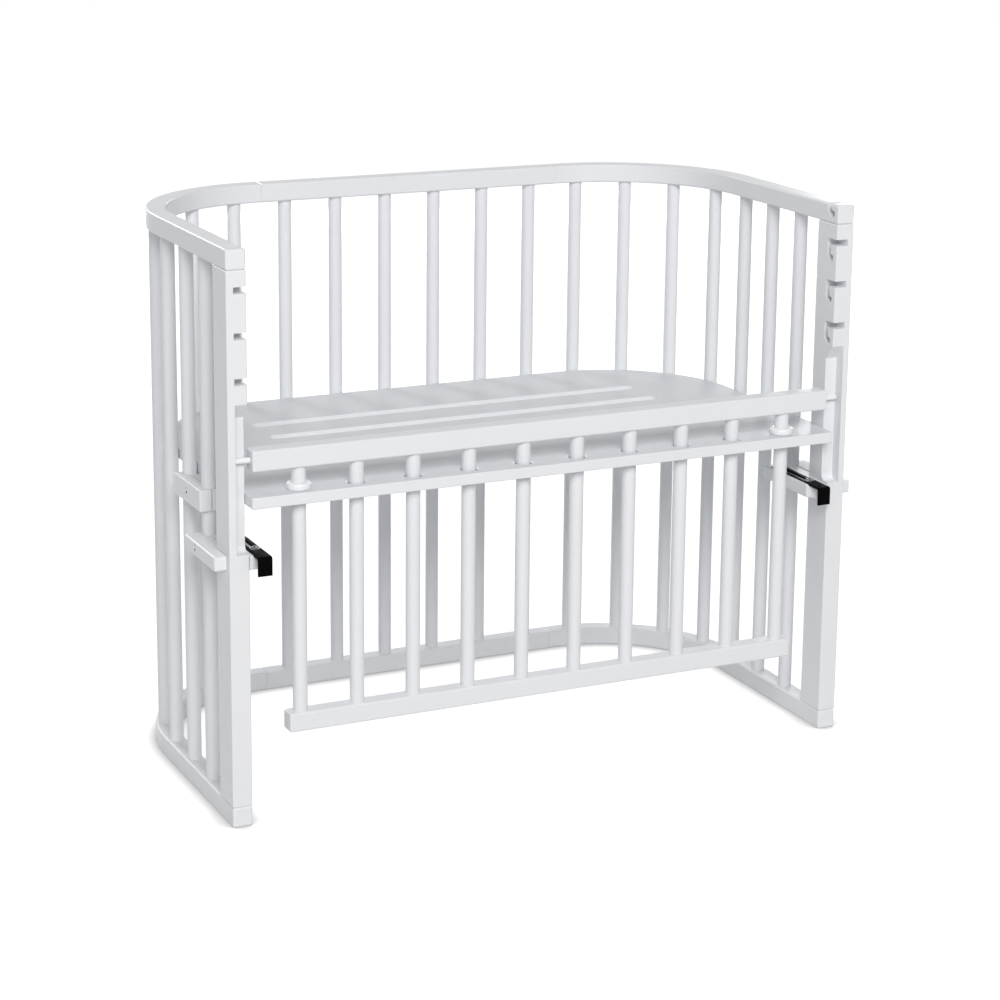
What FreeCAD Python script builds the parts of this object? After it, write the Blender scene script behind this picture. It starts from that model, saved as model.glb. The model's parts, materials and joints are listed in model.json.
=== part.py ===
"""Bedside sleeper crib: a D-shaped cot of round bars between curved rails, open towards the
parents' bed, with a clamped mattress deck, a drop-down closing grille and two bed hooks.

Millimetres. X runs along the crib, Y from the open front to the bowed back, Z up. The pieces are
laid out from the open front, at Y = 0, and save() moves them so that the origin is the centre of
the footprint on the floor.
"""

import FreeCAD, Part
import math
import os

os.makedirs("parts", exist_ok=True)
Vec = FreeCAD.Vector

# ---------------------------------------------------------------- driving dimensions
# Frame
frame_length = 950.0        # over the two front posts
frame_depth = 520.0         # front of the posts to the back of the rails
frame_height = 790.0
rail_width = 28.0           # seen from above; the posts are as wide
rail_height = 28.0
bend_radius = 224.0         # outer radius of the two curved rail sections
bend_tail = 8.0             # straight stub of a curved section past its bend
rail_rounding = 3.0
joint_chamfer = 1.3         # at the butt joints between rail sections
post_depth = 52.0
post_rounding = 2.0

# Frame bars
bar_diameter = 20.0
bar_socket = 12.0           # how deep a bar's end sits in its rail
glue_gap = 0.05             # around everything glued into a hole
middle_bars = 6             # in the straight section of the rails
side_bars = 7               # in each curved section
first_bar = 120.0           # front of the posts to the first bar's axis

# Dowels that join the frame
dowel_diameter = 10.0
dowel_sunk = 20.0           # in each of the two pieces
post_dowel_back = 12.0      # dowel's axis ahead of the post's back face

# Two small caps in the back rail
cap_diameter = 6.0
cap_stem = 4.0              # diameter in its hole
cap_spacing = 292.0
cap_edge = 9.0              # cap's axis to the back face of the rail
cap_depth = 8.0
cap_head = 1.0
cap_crown = 0.8             # rounding over the head

# Hook grooves and rebate of the posts, seen from the side
pin_diameter = 8.0
pin_gap = 0.5               # all round a pin in its groove
pin_reach = 22.0            # out of the end of the grille's top bar
pin_sunk = 26.0
pin_rounding = 1.0
groove_end_gap = 2.0        # past the pin's end
rebate_depth = 17.5         # front of the post to the rebate's back face
rebate_drop = 28.0          # lowest hook's resting pin to the rebate's back top corner
rebate_length = 182.5       # of its back face
ramp_rise = 20.5            # of the slope that leads the pins out at the top
rebate_corner = 9.0
top_hook_drop = 14.0        # top of the frame to a pin that rests in the top rail's hook
first_hook_drop = 77.5      # the same in the post's highest hook
hook_pitch = 60.5
post_hooks = 3
hook_rise = 23.0            # from a resting pin up to the hook's level entry
hook_back = 6.8             # how far behind its rest a pin passes
top_hook_back = 10.5

# Mattress deck
deck_drop = 330.0           # top of the frame to the deck's top
deck_thickness = 16.0
deck_overhang = 11.0        # ahead of the posts
deck_post_gap = 1.0
deck_bar_gap = 0.5
deck_corner = 3.0
deck_rounding = 1.5
deck_slots = 4
slot_pitch = 75.0
slot_width = 22.0
slot_side_margin = 136.5
guide_gap = 2.5             # between a grille bar and the wall of its hole in the deck
guide_chamfer = 1.5

# Closing grille
grille_bars = 10
grille_thickness = 26.0     # of both its rails, front to back
grille_end_gap = 6.0        # top bar's end to the post
grille_end_margin = 68.4    # top bar's end to the outermost bar
grille_top_height = 29.0
grille_low_height = 27.0
grille_low_margin = 19.4    # lower rail's end to the outermost bar
grille_low_bottom = 122.5
grille_rounding = 3.0
finger_gap = 31.0           # deck's top to the underside of the top bar
ring_wall = 6.75            # round the bar
ring_height = 9.5
ring_foot = 1.2             # rounding under the ring
ring_crown = 4.5            # rounding over the ring
rest_gap = 0.2              # between flat faces that only rest or slide on each other

# Clamps on the bars
jaw_gap = 0.3               # jaw to bar, and jaw to the plane through the bars
jaw_outside = 18.0          # thickness of a deck clamp's outer jaw, from the bars' plane
jaw_inside = 36.0           # of its inner jaw, which carries the deck
jaw_wall = 4.0              # past the outermost bar that it grips
deck_jaw_height = 30.0
jaw_rounding = 1.5

# Bracket clamps that carry the bed hooks
bracket_drop = 81.5         # deck's top to the brackets' top
bracket_height = 20.0
bracket_outside = 17.5      # past the outer face of the post
bracket_inside = 29.0       # past the inner face of the post, towards the middle
bracket_setback = 11.0      # outer jaw's front end behind the front of the post
bracket_chamfer = 12.0
bracket_rounding = 3.0
bracket_screw_back = 36.0   # clamp screw's axis behind the post

# Bed hooks
strap_width = 20.0
strap_thickness = 3.0
strap_wall = 3.0            # from the bracket's inner side face to the strap's groove
strap_groove = 2.2
strap_front = 17.0          # ahead of the posts when pushed right in
strap_length = 132.0
strap_lip = 26.0
strap_bend = 4.0
strap_slot = 6.6
strap_play = 0.3
strap_travel = 70.0
strap_screw_at = 24.0       # behind the front of the posts

# Screws
screw_diameter = 6.0
screw_hole_gap = 0.1
clamp_head_diameter = 12.6
clamp_head_height = 3.2
clamp_head_sunk = 2.8       # head's seat below the jaw's face
clamp_head_room = 0.4
clamp_screw_bite = 25.0     # into the inner jaw
strap_head_diameter = 14.0
strap_head_height = 3.6
strap_screw_bite = 14.0
deck_screw_diameter = 4.0
deck_screw_head = 8.0
deck_head_height = 2.0
deck_screw_bite = 9.0       # into the deck
deck_screw_margin = 16.0    # a bar's axis to the nearest deck screw, along the clamp
socket_width = 4.0          # across the flats of a screw head's hexagon
socket_depth = 1.8

# For cutting and picking
past = 1.0                  # how far a cutting shape runs past the face that it opens
same = 0.01                 # points nearer than this are one point

# ---------------------------------------------------------------- places worked out from them
bar_radius = bar_diameter / 2
ring_radius = bar_radius + ring_wall
half_length = frame_length / 2
bar_plane = half_length - rail_width / 2            # X of the side bars' axes
back_plane = frame_depth - rail_width / 2           # Y of the back bars' axes
post_inner = half_length - rail_width               # X of the posts' inner faces
post_top = frame_height - rail_height
bend_x = half_length - bend_radius                  # centre of the right-hand bend
bend_y = frame_depth - bend_radius
joint_x = bend_x - bend_tail                        # butt joint of the rails
middle_pitch = 2 * joint_x / middle_bars
bar_bend = bend_radius - rail_width / 2             # radius on which the bars stand
section_length = bend_y + bar_bend * math.pi / 2 + bend_tail
side_pitch = (section_length - first_bar - middle_pitch / 2) / (side_bars - 1)

pin_radius = pin_diameter / 2
groove_radius = pin_radius + pin_gap
pin_axis_y = rebate_depth - groove_radius
groove_depth = pin_reach - grille_end_gap + groove_end_gap
top_hook = frame_height - top_hook_drop
first_hook = frame_height - first_hook_drop
rebate_high = first_hook - (post_hooks - 1) * hook_pitch - rebate_drop
rebate_low = rebate_high - rebate_length

deck_top = frame_height - deck_drop
deck_bottom = deck_top - deck_thickness
guide_radius = bar_radius + guide_gap
top_bar_half = post_inner - grille_end_gap
grille_pitch = 2 * (top_bar_half - grille_end_margin) / (grille_bars - 1)
outer_grille_bar = top_bar_half - grille_end_margin
top_bar_low = deck_top + finger_gap
pin_height = top_bar_low + grille_top_height / 2
low_rail_top = grille_low_bottom + grille_low_height
low_rail_half = outer_grille_bar + grille_low_margin
grille_front = pin_axis_y - grille_thickness / 2

jaw_face = bar_plane + jaw_gap
deck_jaw_top = deck_bottom - rest_gap
deck_jaw_low = deck_jaw_top - deck_jaw_height
bracket_top = deck_top - bracket_drop
bracket_low = bracket_top - bracket_height
bracket_outer = half_length + bracket_outside
bracket_inner = post_inner - bracket_inside
bracket_back = first_bar + bar_radius + jaw_wall
strap_inner = bracket_inner + strap_wall + strap_play
strap_axis = strap_inner + strap_width / 2
strap_low = bracket_top - strap_groove + rest_gap
strap_top = strap_low + strap_thickness

footprint_front = -max(strap_front, deck_overhang)
footprint_back = back_plane + jaw_outside + clamp_head_height - clamp_head_sunk
origin = Vec(0, (footprint_front + footprint_back) / 2, 0)


# ---------------------------------------------------------------- small tools
def save(name, *solids):
    """Writes a node's solids about the crib's origin."""
    shape = solids[0] if len(solids) == 1 else Part.makeCompound(list(solids))
    shape = shape.copy()
    shape.translate(-origin)
    shape.exportStep("parts/" + name + ".step")


def mirrored(shape):
    """The left-hand copy of a right-hand piece."""
    return shape.mirror(Vec(0, 0, 0), Vec(1, 0, 0))


def save_pair(name, shape):
    save("right_" + name, shape)
    save("left_" + name, mirrored(shape))


def block(x0, x1, y0, y1, z0, z1):
    return Part.makeBox(x1 - x0, y1 - y0, z1 - z0, Vec(x0, y0, z0))


def rod(radius, start, end):
    axis = end - start
    return Part.makeCylinder(radius, axis.Length, start, axis)


def plan_prism(points, low, high):
    """A straight-sided prism over points (x, y)."""
    ring = [Vec(x, y, low) for x, y in points]
    face = Part.Face(Part.makePolygon(ring + ring[:1]))
    return face.extrude(Vec(0, 0, high - low))


def rounded(shape, radius, wanted=None):
    """Fillets the edges that wanted(edge) picks, or all of them."""
    edges = [e for e in shape.Edges if wanted is None or wanted(e)]
    return shape.makeFillet(radius, edges)


def in_plane(axis, value):
    """Picks edges that lie in the plane where the coordinate axis (0, 1, 2) has that value."""
    def test(edge):
        return all(abs(v.Point[axis] - value) < same for v in edge.Vertexes)
    return test


def along(axis):
    """Picks straight edges that run along a coordinate axis."""
    def test(edge):
        ends = [v.Point for v in edge.Vertexes]
        if len(ends) < 2:
            return False
        run = ends[1] - ends[0]
        return run.Length - abs(run[axis]) < same
    return test


def at_line(axis, point):
    """Picks the edge along a coordinate axis that passes through that point."""
    def test(edge):
        if not along(axis)(edge):
            return False
        aside = edge.Vertexes[0].Point - point
        aside[axis] = 0
        return aside.Length < same
    return test


def round_rim(centre):
    """Picks the closed edge round a cylinder's end at that centre."""
    def test(edge):
        return hasattr(edge.Curve, "Center") and (edge.Curve.Center - centre).Length < same
    return test


def screw(head_seat, direction, head_diameter, head_height, shank, length):
    """A screw with a domed socket head: head_seat is where the head's underside touches."""
    way = Vec(direction).normalize()
    radius = head_diameter / 2
    edge = head_height / 2
    top = head_seat - way * head_height
    head = Part.makeCylinder(radius, head_height, head_seat, -way)
    head = rounded(head, edge, round_rim(top))
    corners = [hex_corner(top - way * past, way, k) for k in range(6)]
    socket = Part.Face(Part.makePolygon(corners + corners[:1])).extrude(way * (socket_depth + past))
    body = rod(shank / 2, head_seat, head_seat + way * length)
    return head.cut(socket).fuse(body).removeSplitter()


def hex_corner(centre, way, k):
    """Corner k of a screw socket's hexagon about that centre, square to way."""
    side = way.cross(Vec(1, 2, 3)).normalize()
    across = way.cross(side)
    turn = math.radians(60 * k)
    reach = socket_width / math.sqrt(3)
    return centre + side * (reach * math.cos(turn)) + across * (reach * math.sin(turn))


# ---------------------------------------------------------------- where the bars stand
def side_bar_point(k):
    """Axis (x, y) of bar k of the right-hand curved section, counted from the front."""
    run = first_bar + k * side_pitch
    if run < bend_y:
        return bar_plane, run
    turn = (run - bend_y) / bar_bend
    if turn < math.pi / 2:
        return bend_x + bar_bend * math.cos(turn), bend_y + bar_bend * math.sin(turn)
    return bend_x - (run - bend_y - bar_bend * math.pi / 2), back_plane


def middle_bar_point(k):
    return (k - (middle_bars - 1) / 2) * middle_pitch, back_plane


def side_points():
    return [side_bar_point(k) for k in range(side_bars)]


def middle_points():
    return [middle_bar_point(k) for k in range(middle_bars)]


def grille_points():
    middle = (grille_bars - 1) / 2
    return [((k - middle) * grille_pitch, pin_axis_y) for k in range(grille_bars)]


def bores(points, radius, low, high):
    """Upright cylinders on those points, in one compound for cutting."""
    return Part.makeCompound([rod(radius, Vec(x, y, low), Vec(x, y, high)) for x, y in points])


# ---------------------------------------------------------------- frame
def curved_outline(inset, low):
    """Half of the D from the front to the joint, as edges, inset from the outer face."""
    x = half_length - inset
    radius = bend_radius - inset
    y = bend_y + radius
    turn = math.radians(45)
    bend = Part.Arc(Vec(x, bend_y, low),
                    Vec(bend_x + radius * math.cos(turn), bend_y + radius * math.sin(turn), low),
                    Vec(bend_x, y, low)).toShape()
    front = Part.makeLine(Vec(x, 0, low), Vec(x, bend_y, low))
    tail = Part.makeLine(Vec(bend_x, y, low), Vec(joint_x, y, low))
    return [front, bend, tail]


def curved_rail(low):
    """Right-hand rail section: straight from the front, then bent round to the back."""
    outer = curved_outline(0, low)
    inner = curved_outline(rail_width, low)
    ends = [Part.makeLine(Vec(post_inner, 0, low), Vec(half_length, 0, low)),
            Part.makeLine(Vec(joint_x, back_plane + rail_width / 2, low),
                          Vec(joint_x, back_plane - rail_width / 2, low))]
    wire = Part.Wire(Part.__sortEdges__(outer + inner + ends))
    rail = Part.Face(wire).extrude(Vec(0, 0, rail_height))
    at_joint = in_plane(0, joint_x)
    rail = rounded(rail, rail_rounding, lambda e: not at_joint(e) and not corner_of_bend(e))
    return rail.makeChamfer(joint_chamfer, [e for e in rail.Edges if at_joint(e)])


def corner_of_bend(edge):
    """The upright seams where a rail's straight side runs smoothly into its bend."""
    return along(2)(edge) and edge.Vertexes[0].Point.y > same


def middle_rail(low):
    """Straight rail section between the two joints."""
    rail = block(-joint_x, joint_x, back_plane - rail_width / 2, back_plane + rail_width / 2,
                 low, low + rail_height)
    rail = rounded(rail, rail_rounding, along(0))
    ends = [e for e in rail.Edges if in_plane(0, joint_x)(e) or in_plane(0, -joint_x)(e)]
    return rail.makeChamfer(joint_chamfer, ends)


def hook_groove(rest_height, rise, back, open_up):
    """Space that a pin sweeps on its way to rest: in from the front, or from above, then down
    behind the nose and forward. It is cut from the inner face of a right-hand post."""
    turn = Vec(0, pin_axis_y, rest_height + back)       # centre of the last bend
    behind = pin_axis_y + back
    steps = [Part.Arc(Vec(0, pin_axis_y, rest_height),
                      turn + Vec(0, back, -back).normalize() * back,
                      Vec(0, behind, rest_height + back)).toShape()]
    if open_up:
        top = frame_height + groove_radius
        steps.append(Part.makeLine(Vec(0, behind, rest_height + back), Vec(0, behind, top)))
    else:
        entry = Vec(0, behind, rest_height + rise)
        steps.append(Part.makeLine(Vec(0, behind, rest_height + back), entry))
        steps.append(Part.makeLine(entry, Vec(0, -groove_radius, entry.z)))
    path = Part.Wire(Part.__sortEdges__(steps))
    outline = path.makeOffset2D(groove_radius)
    face = Part.Face(outline)
    face.translate(Vec(post_inner - past, 0, 0))
    return face.extrude(Vec(groove_depth + past, 0, 0))


def pin_rebate():
    """Long rebate in the right-hand post's inner front corner, with a ramp at its top."""
    slope = ramp_rise / rebate_depth
    points = [(-past, rebate_low), (rebate_depth, rebate_low), (rebate_depth, rebate_high),
              (-past, rebate_high + (rebate_depth + past) * slope)]
    ring = [Vec(post_inner - past, y, z) for y, z in points]
    cut = Part.Face(Part.makePolygon(ring + ring[:1])).extrude(Vec(groove_depth + past, 0, 0))
    return rounded(cut, rebate_corner, at_line(0, Vec(0, rebate_depth, rebate_low)))


def front_post():
    """Right-hand post with three hook grooves over the rebate in which the pins ride."""
    post = rounded(block(post_inner, half_length, 0, post_depth, rail_height, post_top),
                   post_rounding)
    for k in range(post_hooks):
        height = first_hook - k * hook_pitch
        post = post.cut(hook_groove(height, hook_rise, hook_back, False))
    post = post.cut(pin_rebate())
    return post.cut(post_dowel_holes())


def post_dowel_axis():
    return bar_plane, post_depth - post_dowel_back


def post_dowels():
    x, y = post_dowel_axis()
    return [rod(dowel_diameter / 2, Vec(x, y, z - dowel_sunk), Vec(x, y, z + dowel_sunk))
            for z in (rail_height, post_top)]


def post_dowel_holes():
    x, y = post_dowel_axis()
    radius = dowel_diameter / 2 + glue_gap
    return Part.makeCompound([rod(radius, Vec(x, y, z - dowel_sunk - glue_gap),
                                  Vec(x, y, z + dowel_sunk + glue_gap))
                              for z in (rail_height, post_top)])


def joint_dowels():
    """Dowels across the right-hand butt joints of both rails."""
    return [rod(dowel_diameter / 2, Vec(joint_x - dowel_sunk, back_plane, z),
                Vec(joint_x + dowel_sunk, back_plane, z))
            for z in (rail_height / 2, frame_height - rail_height / 2)]


def joint_dowel_holes():
    radius = dowel_diameter / 2 + glue_gap
    reach = dowel_sunk + glue_gap
    right = [rod(radius, Vec(joint_x - reach, back_plane, z), Vec(joint_x + reach, back_plane, z))
             for z in (rail_height / 2, frame_height - rail_height / 2)]
    return Part.makeCompound(right + [mirrored(hole) for hole in right])


def bar_sockets(points):
    """Blind holes for the bars in both rails."""
    radius = bar_radius + glue_gap
    return Part.makeCompound([bores(points, radius, rail_height - bar_socket, rail_height + past),
                              bores(points, radius, post_top - past, post_top + bar_socket)])


def cap_points():
    return [(side * cap_spacing / 2, frame_depth - cap_edge) for side in (-1, 1)]


def rail_caps():
    """Two small round-headed caps in the top of the back rail."""
    caps = []
    for x, y in cap_points():
        seat = Vec(x, y, frame_height)
        top = Vec(x, y, frame_height + cap_head)
        stem = rod(cap_stem / 2, Vec(x, y, frame_height - cap_depth), seat)
        head = rounded(rod(cap_diameter / 2, seat, top), cap_crown, round_rim(top))
        caps.append(stem.fuse(head).removeSplitter())
    return caps


def cap_holes():
    return bores(cap_points(), cap_stem / 2 + glue_gap,
                 frame_height - cap_depth - glue_gap, frame_height + past)


def make_frame():
    sockets = bar_sockets(side_points())
    for name, low in (("bottom", 0.0), ("top", post_top)):
        rail = curved_rail(low).cut(sockets).cut(post_dowel_holes()).cut(joint_dowel_holes())
        if name == "top":
            rail = rail.cut(hook_groove(top_hook, 0, top_hook_back, True))
        save(name + "_rail_right", rail)
        save(name + "_rail_left", mirrored(rail))
        rail = middle_rail(low).cut(bar_sockets(middle_points())).cut(joint_dowel_holes())
        if name == "top":
            rail = rail.cut(cap_holes())
        save(name + "_rail_middle", rail)
    save_pair("front_post", front_post())
    dowels = post_dowels() + joint_dowels()
    save("frame_dowels", *(dowels + [mirrored(dowel) for dowel in dowels]))
    save("top_rail_caps", *rail_caps())
    low, high = rail_height - bar_socket, post_top + bar_socket
    for k, (x, y) in enumerate(side_points()):
        save_pair("side_bar_%d" % (k + 1), rod(bar_radius, Vec(x, y, low), Vec(x, y, high)))
    for k, (x, y) in enumerate(middle_points()):
        save("back_bar_%d" % (k + 1), rod(bar_radius, Vec(x, y, low), Vec(x, y, high)))


# ---------------------------------------------------------------- mattress deck
def deck_outline():
    """D-shaped outline: between the posts in front, just inside the bars behind them."""
    front_x = post_inner - deck_post_gap
    side_x = bar_plane - bar_radius - deck_bar_gap
    step_y = post_depth + deck_post_gap
    radius = side_x - bend_x
    back_y = bend_y + radius
    turn = math.radians(45)
    swing = Vec(radius * math.cos(turn), radius * math.sin(turn), 0)
    right = [Part.makeLine(Vec(front_x, -deck_overhang, 0), Vec(front_x, step_y, 0)),
             Part.makeLine(Vec(front_x, step_y, 0), Vec(side_x, step_y, 0)),
             Part.makeLine(Vec(side_x, step_y, 0), Vec(side_x, bend_y, 0)),
             Part.Arc(Vec(side_x, bend_y, 0), Vec(bend_x, bend_y, 0) + swing,
                      Vec(bend_x, back_y, 0)).toShape()]
    left = [mirrored(edge) for edge in right]
    front = Part.makeLine(Vec(-front_x, -deck_overhang, 0), Vec(front_x, -deck_overhang, 0))
    back = Part.makeLine(Vec(-bend_x, back_y, 0), Vec(bend_x, back_y, 0))
    return Part.Wire(Part.__sortEdges__(right + left + [front, back]))


def deck_slot(y):
    """A long airing slot with round ends."""
    half = bar_plane - bar_radius - deck_bar_gap - slot_side_margin - slot_width / 2
    low, high = deck_bottom - past, deck_top + past
    slot = block(-half, half, y - slot_width / 2, y + slot_width / 2, low, high)
    for x in (-half, half):
        slot = slot.fuse(rod(slot_width / 2, Vec(x, y, low), Vec(x, y, high)))
    return slot.removeSplitter()


def deck_slot_rows():
    front = -deck_overhang
    back = back_plane - bar_radius - deck_bar_gap
    middle = (front + back) / 2
    return [middle + (k - (deck_slots - 1) / 2) * slot_pitch for k in range(deck_slots)]


def deck_board():
    deck = Part.Face(deck_outline()).extrude(Vec(0, 0, deck_thickness))
    deck.translate(Vec(0, 0, deck_bottom))

    def front_corner(edge):
        return along(2)(edge) and abs(edge.Vertexes[0].Point.y + deck_overhang) < same
    deck = rounded(deck, deck_corner, front_corner)
    rim = [e for e in deck.Edges if in_plane(2, deck_top)(e) or in_plane(2, deck_bottom)(e)]
    deck = deck.makeFillet(deck_rounding, rim)
    deck = deck.cut(bores(grille_points(), guide_radius, deck_bottom - past, deck_top + past))
    cones = []
    for x, y in grille_points():
        cones.append(Part.makeCone(guide_radius, guide_radius + guide_chamfer, guide_chamfer,
                                   Vec(x, y, deck_top - guide_chamfer), Vec(0, 0, 1)))
    deck = deck.cut(Part.makeCompound(cones))
    for y in deck_slot_rows():
        deck = deck.cut(deck_slot(y))
    return deck.cut(Part.makeCompound([rod(deck_screw_diameter / 2 + screw_hole_gap,
                                           Vec(x, y, deck_bottom - past),
                                           Vec(x, y, deck_bottom + deck_screw_bite + glue_gap))
                                       for x, y in all_deck_screws()]))


# ---------------------------------------------------------------- clamps that carry the deck
def deck_clamp(reach):
    """Both jaws of a deck clamp, lying along X over two bars at X = 0 and X = reach. The outer
    jaw is on the +Y side of the bars' plane. Returns outer, inner, clamp screw."""
    x0 = -bar_radius - jaw_wall
    x1 = reach + bar_radius + jaw_wall
    outer = block(x0, x1, jaw_gap, jaw_outside, deck_jaw_low, deck_jaw_top)
    inner = block(x0, x1, -jaw_inside, -jaw_gap, deck_jaw_low, deck_jaw_top)
    outer = rounded(outer, jaw_rounding)
    inner = rounded(inner, jaw_rounding)
    grip = bores([(0, 0), (reach, 0)], bar_radius + jaw_gap,
                 deck_jaw_low - past, deck_jaw_top + past)
    axis = Vec(reach / 2, 0, (deck_jaw_low + deck_jaw_top) / 2)
    hole, fastener = clamp_screw(axis, Vec(0, -1, 0), jaw_outside)
    heads = Part.makeCompound([deck_screw_hole(x, y) for x, y in deck_screw_places(reach)])
    return outer.cut(grip).cut(hole), inner.cut(grip).cut(hole).cut(heads), fastener


def clamp_screw(plane_point, way, thickness):
    """Stepped hole and screw through an outer jaw of that thickness into the inner jaw.
    plane_point is on the screw's axis, in the plane between the jaws."""
    face = plane_point - way * thickness
    seat = face + way * clamp_head_sunk
    length = thickness - clamp_head_sunk + clamp_screw_bite
    hole = rod(screw_diameter / 2 + screw_hole_gap, face, seat + way * (length + glue_gap))
    room = rod(clamp_head_diameter / 2 + clamp_head_room, face - way * past, seat)
    fastener = screw(seat, way, clamp_head_diameter, clamp_head_height, screw_diameter, length)
    return hole.fuse(room), fastener


def deck_screw_places(reach):
    """Two screws up into the deck, near the inner jaw's middle line."""
    y = -(jaw_inside + bar_radius) / 2
    return [(deck_screw_margin, y), (reach - deck_screw_margin, y)]


def deck_screw_hole(x, y):
    shank = rod(deck_screw_diameter / 2 + screw_hole_gap,
                Vec(x, y, deck_jaw_low), Vec(x, y, deck_jaw_top + past))
    room = rod(deck_screw_head / 2 + clamp_head_room, Vec(x, y, deck_jaw_low - past),
               Vec(x, y, deck_jaw_low + clamp_head_height))
    return shank.fuse(room)


def deck_screw(x, y):
    """Plain wood screw from a recess in the jaw up into the deck."""
    seat = deck_jaw_low + clamp_head_height
    under = Vec(x, y, seat - deck_head_height)
    head = rod(deck_screw_head / 2, under, Vec(x, y, seat))
    shank = rod(deck_screw_diameter / 2, under, Vec(x, y, deck_bottom + deck_screw_bite))
    return head.fuse(shank).removeSplitter()


def clamp_places():
    """Name, turn about Z and origin of each deck clamp: bar 1 of a side, or the two middle
    bars of the back."""
    x, y = middle_bar_point(middle_bars // 2 - 1)
    return [("right_deck", -90.0, side_bar_point(1), side_pitch),
            ("rear_deck", 0.0, (x, y), middle_pitch)]


def put(shape, turn, place):
    shape = shape.copy()
    shape.rotate(Vec(0, 0, 0), Vec(0, 0, 1), turn)
    shape.translate(Vec(place[0], place[1], 0))
    return shape


def all_deck_screws():
    """Every place (x, y) where a screw goes up into the deck."""
    places = []
    for name, turn, place, reach in clamp_places():
        for x, y in deck_screw_places(reach):
            point = FreeCAD.Rotation(Vec(0, 0, 1), turn).multVec(Vec(x, y, 0))
            places.append((point.x + place[0], point.y + place[1]))
            if name == "right_deck":
                places.append((-point.x - place[0], point.y + place[1]))
    return places


def make_deck():
    save("deck_board", deck_board())
    screws = []
    for name, turn, place, reach in clamp_places():
        outer, inner, fastener = [put(s, turn, place) for s in deck_clamp(reach)]
        screws.append(fastener)
        if name == "right_deck":
            save_pair("deck_clamp_outer", outer)
            save_pair("deck_clamp_inner", inner)
            screws.append(mirrored(fastener))
        else:
            save("rear_deck_clamp_outer", outer)
            save("rear_deck_clamp_inner", inner)
    screws += [deck_screw(x, y) for x, y in all_deck_screws()]
    save("deck_clamp_screws", *screws)


# ---------------------------------------------------------------- closing grille
def grille_rail(half, low, height):
    y = grille_front
    rail = block(-half, half, y, y + grille_thickness, low, low + height)
    return rounded(rail, grille_rounding)


def stop_ring(x):
    """Plastic ring, fixed on a grille bar, that holds the lowered grille off the deck."""
    foot = Vec(x, pin_axis_y, deck_top + rest_gap)
    top = foot + Vec(0, 0, ring_height)
    over = Vec(0, 0, past)
    ring = rounded(rod(ring_radius, foot, top), ring_foot, round_rim(foot))
    ring = rounded(ring, ring_crown, round_rim(top))
    return ring.cut(rod(bar_radius + glue_gap, foot - over, top + over))


def end_pin(side):
    root = Vec(side * (top_bar_half - pin_sunk), pin_axis_y, pin_height)
    tip = Vec(side * (top_bar_half + pin_reach), pin_axis_y, pin_height)
    return rounded(rod(pin_radius, root, tip), pin_rounding, round_rim(tip))


def pin_holes():
    holes = []
    for side in (-1, 1):
        holes.append(rod(pin_radius + glue_gap,
                         Vec(side * (top_bar_half - pin_sunk - glue_gap), pin_axis_y, pin_height),
                         Vec(side * (top_bar_half + past), pin_axis_y, pin_height)))
    return Part.makeCompound(holes)


def make_grille():
    radius = bar_radius + glue_gap
    points = grille_points()
    top = grille_rail(top_bar_half, top_bar_low, grille_top_height)
    top = top.cut(bores(points, radius, top_bar_low - past, top_bar_low + bar_socket + glue_gap))
    save("grille_top_bar", top.cut(pin_holes()))
    low = grille_rail(low_rail_half, grille_low_bottom, grille_low_height)
    sockets = bores(points, radius, low_rail_top - bar_socket - glue_gap, low_rail_top + past)
    save("grille_low_rail", low.cut(sockets))
    for k, (x, y) in enumerate(points):
        save("grille_bar_%02d" % (k + 1), rod(bar_radius, Vec(x, y, low_rail_top - bar_socket),
                                              Vec(x, y, top_bar_low + bar_socket)))
    save("grille_end_pins", end_pin(-1), end_pin(1))
    save("grille_stop_rings", stop_ring(-outer_grille_bar), stop_ring(outer_grille_bar))


# ---------------------------------------------------------------- bed hooks and their brackets
def bracket_grip():
    """Space of the first bar and of the post, with clearance all round."""
    low, high = bracket_low - past, bracket_top + past
    grip = bores([(bar_plane, first_bar)], bar_radius + jaw_gap, low, high)
    post = block(post_inner - jaw_gap, half_length + jaw_gap, -past, post_depth + jaw_gap,
                 low, high)
    return grip.fuse(post)


def bracket_outer_jaw():
    """Grips the bar from outside and runs forward past the post's outer face."""
    jaw = block(jaw_face, bracket_outer, bracket_setback, bracket_back, bracket_low, bracket_top)
    jaw = rounded(jaw, bracket_rounding)
    return jaw.cut(bracket_grip())


def bracket_inner_jaw():
    """Grips the bar from inside and runs forward past the post's inner face, with a groove for
    the strap on top and a bevelled front end."""
    plane = bar_plane - jaw_gap
    points = [(bracket_inner, bracket_chamfer), (bracket_inner + bracket_chamfer, 0),
              (plane, 0), (plane, bracket_back), (bracket_inner, bracket_back)]
    jaw = rounded(plan_prism(points, bracket_low, bracket_top), bracket_rounding)
    groove = block(strap_inner - strap_play, strap_inner + strap_width + strap_play,
                   -past, bracket_back + past, bracket_top - strap_groove, bracket_top + past)
    shank = rod(screw_diameter / 2 + screw_hole_gap,
                Vec(strap_axis, strap_screw_at, strap_top - strap_screw_bite - strap_thickness),
                Vec(strap_axis, strap_screw_at, strap_top))
    return jaw.cut(bracket_grip()).cut(groove).cut(shank)


def bracket_clamp_axis():
    return Vec(bar_plane, post_depth + bracket_screw_back, (bracket_low + bracket_top) / 2)


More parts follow.
